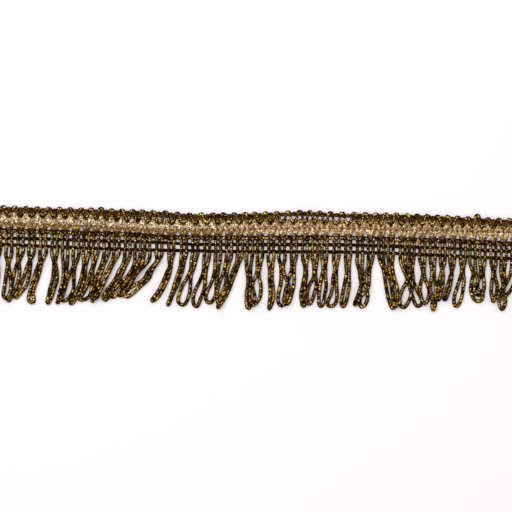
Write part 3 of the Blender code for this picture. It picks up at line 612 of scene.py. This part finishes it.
def ribbon_lines(rng):
    """The lines across the gota ribbon, from its first turn to its last, and its map."""
    middles = [(left + right) / 2 for left, right in leg_places()]
    turns = [(middles[0], True)]
    for middle, following in zip(middles, middles[1:]):
        turns.append(((middle + following) / 2, False))
        turns.append((following, True))
    lines = []
    maps = []
    across = np.linspace(-1.0, 1.0, RIBBON_COLUMNS)
    for (x, top), (next_x, _) in zip(turns, turns[1:]):
        high = row("turn", x) + (PICOT_TURN + np.interp(x / MM, *RIBBON_TOPS)) * MM
        ends = [high, row("arch", next_x) - RIBBON_BOTTOM]
        if not top:
            ends = [row("arch", x) - RIBBON_BOTTOM, high]
        ends = [end + rng.uniform(-0.12, 0.12) * MM for end in ends]
        waist = row("ribbon", (x + next_x) / 2)
        run = next_x - x
        fuller = rng.uniform(-0.04, 0.04) + np.interp(x / MM, (20, 60), (0.0, 0.045))
        for share in RIBBON_SHARES:
            y = np.interp(share, (0.0, 0.5, 1.0), (ends[0], waist, ends[1]))
            centre = x + run * (0.5 - 0.36 * np.cos(np.pi * share))
            down = share if top else 1 - share
            fullness = fuller * abs(np.cos(np.pi * share))
            half = run * (np.interp(down, RIBBON_SHARES, RIBBON_HALVES) + fullness)
            swell = np.interp(share, (0.0, 0.25, 0.5, 0.75, 1.0), (0.0, 0.70, 0.45, 0.70, 0.0))
            z = RIBBON_RISE + swell * MM + RIBBON_FOLD * (share - 0.5)
            crease = rng.uniform(-0.07, 0.07, RIBBON_COLUMNS) * MM + 0.16 * MM * (1 - across**2)
            ragged = rng.uniform(-0.05, 0.05, RIBBON_COLUMNS) * MM
            lines.append(np.column_stack([centre + half * across, y + ragged, z + crease]))
            aside = np.abs(centre + half * across - (x if top else next_x)) / run
            maps.append(np.column_stack([aside, np.full(RIBBON_COLUMNS, down)]))
    return np.array(lines), np.array(maps)


def four(start, first, second):
    """Quads from a start by a first step and by a second step."""
    return np.column_stack([start, start + first, start + first + second, start + second])


def ribbon_piece(finish, rng):
    """The gota ribbon as one closed thin tape, folded at each turn."""
    upper, maps = ribbon_lines(rng)
    count = len(upper)
    columns = RIBBON_COLUMNS
    lower = upper - RIBBON_THICK * UP
    under = count * columns
    here = (np.arange(count - 1)[:, None] * columns + np.arange(columns - 1)[None, :]).ravel()
    top = four(here, 1, columns)
    left = np.arange(count - 1) * columns
    first = np.arange(columns - 1)
    faces = [top, top[:, ::-1] + under, four(left, columns, under),
             four(left + columns - 1 + under, columns, -under), four(first + under, 1, -under),
             four(first + (count - 1) * columns, 1, under)]
    mesh = bpy.data.meshes.new("gota_ribbon_foil")
    points = np.vstack([upper.reshape(-1, 3), lower.reshape(-1, 3)])
    mesh.from_pydata(points.tolist(), [], np.vstack(faces).tolist())
    corners = np.empty(len(mesh.loops), int)
    mesh.loops.foreach_get("vertex_index", corners)
    mesh.uv_layers.new(name="yarn")
    mesh.uv_layers["yarn"].data.foreach_set("uv", maps.reshape(-1, 2)[corners % under].ravel())
    mesh.materials.append(finish)
    return placed_piece("gota_ribbon_foil", mesh, "gota_foil", "gota_ribbon")


# Fringe

def loop_way(root, points):
    """The way of a loop's cord, from its left root round the tip to its right root."""
    ends = [root - LEG_INSET, root + LEG_INSET]
    starts = [(end, row("strip", end) - LOOP_START, 0.0) for end in ends]
    inner = np.reshape(points, (-1, 2)) / 10
    inner = [(root + x * MM, row("strip", root) - drop * MM, 0.0) for x, drop in inner]
    return spline([starts[0], *inner, starts[1]], 5)


def heaped(route, below):
    """How high a cord lies at each point of a route (rows) on each point below it (columns)."""
    apart = np.linalg.norm(route[:, None, :2] - below[None, :, :2], axis=2)
    rise = below[None, :, 2] + STACK * np.sqrt(np.clip(1 - (apart / TOUCH) ** 2, 0, None))
    return np.where(apart < TOUCH, rise, 0.0)


def laid(routes):
    """Lays the cords one on another in the order given: each rests on the cords laid before it.

    Every route is laid in two halves; the half that lies on top comes second.
    """
    below = np.empty((0, 3))
    for route, places, over in routes:
        middle = places[-1] / 2
        halves = [places <= middle, places > middle]
        if over == 1:
            halves.reverse()
        own = np.zeros(len(route), bool)
        for half in halves:
            heights = heaped(route[half], below).max(axis=1, initial=0.0)
            if own.any():
                free = np.abs(places[half][:, None] - places[own][None, :]) > FREE
                again = np.where(free, heaped(route[half], route[own]), 0.0)
                heights = np.maximum(heights, again.max(axis=1))
            route[half, 2] = heights
            own |= half
        heights = route[:, 2]
        wide = np.maximum(heights, np.maximum(np.roll(heights, 1), np.roll(heights, -1)))
        wide[0] = wide[-1] = 0.0
        route[:, 2] = smoothed(wide, 4)
        below = np.vstack([below, route])
    for route, _, _ in routes:
        route[:, 2] -= 0.5 * np.maximum(route[:, 2] - PRESSED, 0.0)


def fringe_pieces(finish, rng):
    """The hanging loops, laid one on another."""
    made = []
    for number, (root, over, layer, points) in enumerate(LOOPS):
        route, places = resample(loop_way(root * MM, points), LOOP_STEP)
        route = smoothed(route, 2)
        bend = np.minimum(1.0, np.minimum(places, places[-1] - places) / SWAY_LEAD)
        for axis, sway in enumerate(LOOP_SWAY):
            route[:, axis] += sway * wander(len(route), 9, rng) * bend
        made.append((layer, number, route, places, over))
    upwards = sorted(made, key=lambda one: one[:2])
    laid([(route, places, over) for _, _, route, places, over in upwards])
    pieces = []
    half = len(LOOPS) // 2
    for part, chosen in enumerate((made[:half], made[half:])):
        yarns = Yarns()
        for _, number, route, places, _ in chosen:
            drop = row("strip", LOOPS[number][0] * MM) - route[:, 1]
            lead = 1 - ease(drop / LOOP_LEAD)
            route[:, 2] += FRINGE_CORD / 2 + CLEARANCE + (HEADING_RISE - FRINGE_CORD / 2) * lead
            width = FRINGE_CORD + (NET_CORD - FRINGE_CORD) * (1 - ease(drop / LOOP_WIDEN))
            head, tail = [(x, row("strip", x) - LOOP_END, z) for x, _, z in route[[0, -1]]]
            width = np.concatenate([[NET_CORD], width, [NET_CORD]])
            yarns.cord(np.vstack([head, route, tail]), width, rng)
        pieces.append(yarns.build(f"fringe_cords_{part + 1}", [finish], "bronze_cord", "fringe"))
    return pieces


# Materials

class Nodes:
    """Short ways to add and join shader nodes."""

    def __init__(self, name):
        self.material = bpy.data.materials.new(name)
        self.material.use_nodes = True
        self.tree = self.material.node_tree
        self.shader = self.tree.nodes["Principled BSDF"]

    def shade(self, **values):
        """Sets the shader's own sockets. An underscore stands for a space."""
        for name, value in values.items():
            self.shader.inputs[name.replace("_", " ")].default_value = value

    def add(self, kind, **values):
        node = self.tree.nodes.new(kind)
        for name, value in values.items():
            if name in node.inputs:
                node.inputs[name].default_value = value
            else:
                setattr(node, name, value)
        return node

    def join(self, source, target):
        self.tree.links.new(source, target)

    def maths(self, operation, first, second=None, clamp=False):
        node = self.add("ShaderNodeMath", operation=operation, use_clamp=clamp)
        for socket, value in zip(node.inputs, (first, second)):
            if value is None:
                continue
            if isinstance(value, (int, float)):
                socket.default_value = value
            else:
                self.join(value, socket)
        return node.outputs[0]

    def times(self, first, second):
        return self.maths("MULTIPLY", first, second)

    def plus(self, first, second):
        return self.maths("ADD", first, second)

    def at_least(self, source, low):
        """Brings a value between 0 and 1 to between low and 1."""
        return self.plus(self.times(source, 1 - low), low)

    def mix(self, factor, first, second):
        node = self.add("ShaderNodeMix", data_type="RGBA")
        for index, value in ((0, factor), (6, first), (7, second)):
            if isinstance(value, tuple):
                node.inputs[index].default_value = (*value, 1.0)
            else:
                self.join(value, node.inputs[index])
        return node.outputs[2]

    def ramp(self, source, start, end):
        node = self.add("ShaderNodeMapRange")
        node.inputs["From Min"].default_value = start
        node.inputs["From Max"].default_value = end
        self.join(source, node.inputs["Value"])
        return node.outputs[0]

    def noise(self, scale, detail=2.0, vector=None):
        """Noise over the object's own coordinates, or over a vector."""
        if vector is None:
            vector = self.add("ShaderNodeTexCoord").outputs["Object"]
        node = self.add("ShaderNodeTexNoise", Scale=scale, Detail=detail)
        self.join(vector, node.inputs["Vector"])
        return node.outputs["Fac"]

    def parts(self, vector):
        """The first two parts of a vector."""
        split = self.add("ShaderNodeSeparateXYZ")
        self.join(vector, split.inputs[0])
        return split.outputs[0], split.outputs[1]

    def yarn_map(self):
        """A yarn's millimetres along and turns around, or a ribbon's place aside and down."""
        return self.parts(self.add("ShaderNodeUVMap", uv_map="yarn").outputs[0])

    def place_along(self):
        """The place along the trim, in metres."""
        return self.parts(self.add("ShaderNodeTexCoord").outputs["Object"])[0]

    def bump(self, height, strength, distance):
        node = self.add("ShaderNodeBump", Strength=strength, Distance=distance)
        self.join(height, node.inputs["Height"])
        self.join(node.outputs[0], self.shader.inputs["Normal"])


def wrapped_noise(made, along, cosine, sine):
    """Noise in flecks that follow the wraps of the metallic thread round a ply."""
    vector = made.add("ShaderNodeCombineXYZ")
    made.join(made.times(along, 1 / FLECK), vector.inputs[0])
    made.join(made.times(cosine, 0.6), vector.inputs[1])
    shift = made.times(made.place_along(), 150.0)
    made.join(made.plus(made.times(sine, 0.6), shift), vector.inputs[2])
    return made.noise(1.0, 1.0, vector.outputs[0])


def cord_material(name, share):
    """Twisted metallic cord: nearly black bronze, which is painted shade in the grooves between the
    plies; rust in places, shown only on the plies' crests as painted light; gold flecks of the
    metallic thread on the crests as painted glints.
    """
    made = Nodes(name)
    along, around = made.yarn_map()
    angle = made.times(around, 2 * np.pi)
    cosine = made.maths("COSINE", angle)
    # A ply's outward face: painted glints in gold and painted light in the rust there, painted
    # shade in the grooves off it
    lit_crest = made.ramp(cosine, *LIT_CREST_LEVELS)
    turns = made.plus(made.times(along, 1 / WRAP), around)
    wraps = made.ramp(made.maths("SINE", made.times(turns, 2 * np.pi)), -0.6, 0.6)
    flecks = wrapped_noise(made, along, cosine, made.maths("SINE", angle))
    patches = made.ramp(flecks, *(level - share for level in FLECK_LEVELS))
    broad = made.ramp(made.noise(420.0, 1.5), 0.38, 0.58)
    shine = made.times(made.at_least(patches, 0.03), made.at_least(wraps, 0.70))
    shine = made.times(shine, made.at_least(broad, 0.35))
    shine = made.maths("MULTIPLY", shine, lit_crest, clamp=True)
    lit_rust = made.times(made.ramp(made.noise(650.0, 1.0), 0.42, 0.60), lit_crest)
    ground = made.mix(lit_rust, CORD_DARK_AND_SHADE, CORD_LIT_RUST)
    made.join(made.mix(shine, ground, CORD_GOLD), made.shader.inputs["Base Color"])
    made.shade(Roughness=0.42, Metallic=1.0, Specular_Tint=CORD_EDGE)
    made.bump(wraps, 0.5, 0.05 * MM)
    return made.material


def yarn_material(name, colours, roughness):
    """Plain matt binding yarn with fine fibres."""
    made = Nodes(name)
    along, around = made.yarn_map()
    turns = made.plus(made.times(along, 1 / FIBRE), around)
    fibres = made.ramp(made.maths("SINE", made.times(turns, 4 * np.pi)), -1.0, 1.0)
    patches = made.ramp(made.noise(700.0, 3.0), 0.42, 0.72)
    mixed = made.times(patches, made.at_least(fibres, 0.5))
    made.join(made.mix(mixed, *colours), made.shader.inputs["Base Color"])
    made.shade(Roughness=roughness, Metallic=0.25, Specular_IOR_Level=0.2, Specular_Tint=YARN_EDGE)
    made.bump(fibres, 0.5, 0.04 * MM)
    return made.material


def foil_material():
    """Champagne foil, finely crinkled, with painted glitter: on the left a painted highlight in
    cream on the peaks of the upper row and painted shade in bronze on the lower row, tan elsewhere.
    """
    made = Nodes("gota_foil_ribbon")
    aside, down = made.yarn_map()
    crinkle = made.noise(1900.0, 3.0)
    glitter = made.ramp(crinkle, 0.45, 0.60)
    coarse = made.ramp(made.noise(600.0, 3.0), 0.38, 0.62)
    # On the left the upper row's peaks get a painted highlight in cream and the lower row painted
    # shade in bronze
    left = made.ramp(made.place_along(), *PAINTED_LIGHT_END)
    upper = made.ramp(down, 0.54, 0.46)
    highlight_peak = made.ramp(made.maths("SUBTRACT", aside, made.times(down, 0.9)), 0.24, 0.04)
    tan = made.mix(made.times(coarse, 0.5), made.mix(glitter, *TAN_FOIL), TAN_SHADE)
    lit_cream = made.mix(glitter, *CREAM_LIT_FOIL)
    bronze = made.mix(glitter, *BRONZE_SHADED_FOIL)
    base = made.mix(made.times(left, made.maths("SUBTRACT", 1.0, upper)), tan, bronze)
    base = made.mix(made.times(made.times(left, upper), highlight_peak), base, lit_cream)
    made.join(base, made.shader.inputs["Base Color"])
    made.shade(Metallic=0.9, Roughness=0.46, Specular_Tint=FOIL_EDGE)
    made.bump(crinkle, 0.7, 0.08 * MM)
    return made.material


# Room

def look(direction):
    """The turn of a lamp that points in a direction."""
    return Vector(direction).to_track_quat("-Z", "Y").to_euler()


def floor_and_light():
    """White paper under the trim, an even room and the softboxes."""
    floor = bpy.data.meshes.new("floor")
    corners = [(x * FLOOR_HALF, y * FLOOR_HALF, 0) for x, y in ((-1, -1), (1, -1), (1, 1), (-1, 1))]
    floor.from_pydata(corners, [], [(0, 1, 2, 3)])
    paper = Nodes("white_paper")
    paper.shade(Base_Color=FLOOR_COLOUR, Roughness=0.9, Specular_IOR_Level=0.1)
    floor.materials.append(paper.material)
    ground = added("floor", floor)
    world = bpy.data.worlds.new("studio")
    bpy.context.scene.world = world
    world.use_nodes = True
    background = world.node_tree.nodes["Background"]
    background.inputs["Color"].default_value = ROOM_COLOUR
    background.inputs["Strength"].default_value = WORLD_LIGHT
    lamps = [(OVERHEAD_POWER, OVERHEAD_PLACE)]
    for index, power in enumerate(LAMP_POWERS):
        bearing = 2 * np.pi * index / len(LAMP_POWERS)
        place = (LAMP_REACH * np.cos(bearing), LAMP_REACH * np.sin(bearing), LAMP_HEIGHT)
        lamps.append((power, place))
    for index, (power, place) in enumerate(lamps):
        light = bpy.data.lights.new(f"softbox_{index + 1}", "AREA")
        light.energy = power
        light.size = LAMP_SIZE
        lamp = added(light.name, light)
        lamp.location = place
        lamp.rotation_euler = look(-np.array(place))


def camera():
    """Straight above the trim, as in the photo."""
    lens = bpy.data.cameras.new("camera")
    lens.lens = LENS
    lens.sensor_width = SENSOR
    shot = added("camera", lens)
    shot.location = (0.0, VIEW_MIDDLE, VIEW_WIDTH * LENS / SENSOR + VIEW_LEVEL)
    bpy.context.scene.camera = shot


def main():
    """Makes the pieces, the room and the camera, in the order of the random draws."""
    rng = np.random.default_rng(SEED)
    bronze = cord_material("bronze_twisted_cord", 0.08)
    picot = cord_material("picot_twisted_cord", 0.115)
    net = cord_material("net_twisted_cord", 0.10)
    dark = yarn_material("dark_binding_yarn", DARK_YARN, 0.65)
    umber = yarn_material("umber_binding_yarn", UMBER_YARN, 0.6)
    brown = yarn_material("brown_binding_yarn", BROWN_YARN, 0.5)
    fringe = fringe_pieces(bronze, rng)
    edge = Yarns()
    edge.cord(*picot_cord_route(rng), rng)
    edge = edge.build("picot_cord", [picot], "picot_cord", "picot_edge")
    arches = Yarns()
    for left, right in leg_places():
        arches.cord(*arch_route(left, right, rng), rng, ARCH_SIDES)
    arches = arches.build("arch_cords", [net], "net_cord", "arch_net")
    knit = Yarns()
    axis, places = resample(crown_route(rng), CORD_STEP)
    knit.tube(axis, np.full(len(axis), CROWN_RADIUS), places, CROWN_SIDES, None, DARK)
    for line in CHAIN_ROWS:
        chain_row(knit, rng, *line)
    knit = knit.build("heading_knit", [dark, umber, brown], "net_cord", "arch_net")
    waist = Yarns()
    chain_row(waist, rng, "ribbon", 0.0, 0.12, 0.24, 1.20)
    waist = waist.build("ribbon_chain_row", [brown], "net_cord")
    foil = ribbon_piece(foil_material(), rng)
    floor_and_light()
    camera()
    settings = bpy.context.scene.view_settings
    settings.view_transform = "Standard"
    settings.look = "Medium High Contrast"


main()
